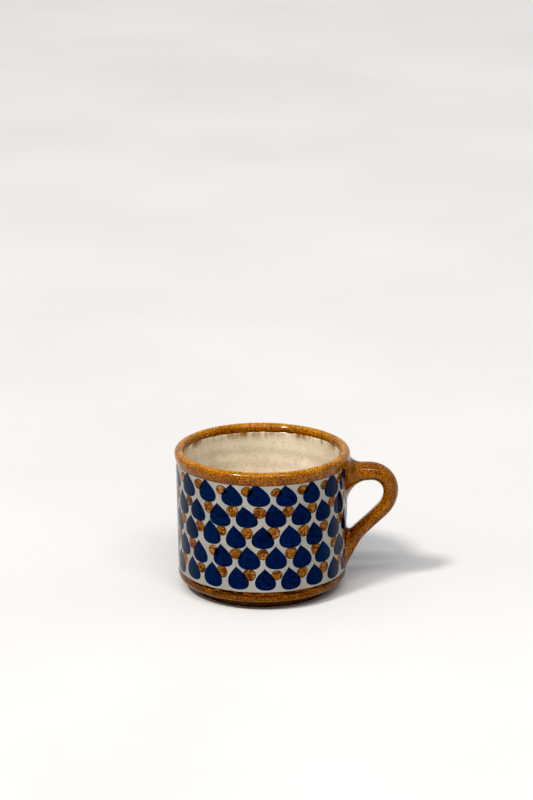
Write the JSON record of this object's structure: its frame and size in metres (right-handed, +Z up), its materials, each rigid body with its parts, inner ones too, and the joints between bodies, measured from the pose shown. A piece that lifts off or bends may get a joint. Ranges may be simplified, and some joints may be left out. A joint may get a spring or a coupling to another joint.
{
  "type": "stoneware mug",
  "caption": "Low, wide stoneware mug with a rolled brown lip, a pale band of painted drops and dots, a strap handle and a stepped foot ring for stacking.",
  "frame": {"origin": "on the mug's axis, in the plane of the foot ring's face that it stands on", "axes": "+Z up along the mug's axis, out of the mouth; +X out through the handle; Y across the handle"},
  "size_m": [0.1124, 0.088, 0.0724],
  "materials": {
    "fired_clay": "matt fired stoneware, bare only on the foot ring and the hollow inside it",
    "fired_slip": "fired clay slip under the glaze",
    "cream_glaze": "glossy cream glaze with fine iron speckle",
    "brown_glaze": "glossy amber-brown glaze with dark iron streaks and speckle",
    "pale_glaze": "glossy pale warm grey glaze with fine speckle",
    "cobalt_paint": "glossy brushed cobalt, greener and thinner at the tips",
    "amber_paint": "glossy translucent amber with darker brushed edges"
  },
  "bodies": {
    "root": {"clay_body": "fired_clay", "handle": "fired_clay", "upper_slip_joint": "fired_slip", "lower_slip_joint": "fired_slip", "liner_glaze": "cream_glaze", "rim_glaze": "brown_glaze", "band_glaze": "pale_glaze", "foot_glaze": "brown_glaze", "handle_glaze": "brown_glaze", "blue_drops": "cobalt_paint", "amber_dots": "amber_paint"}
  },
  "joints": []
}
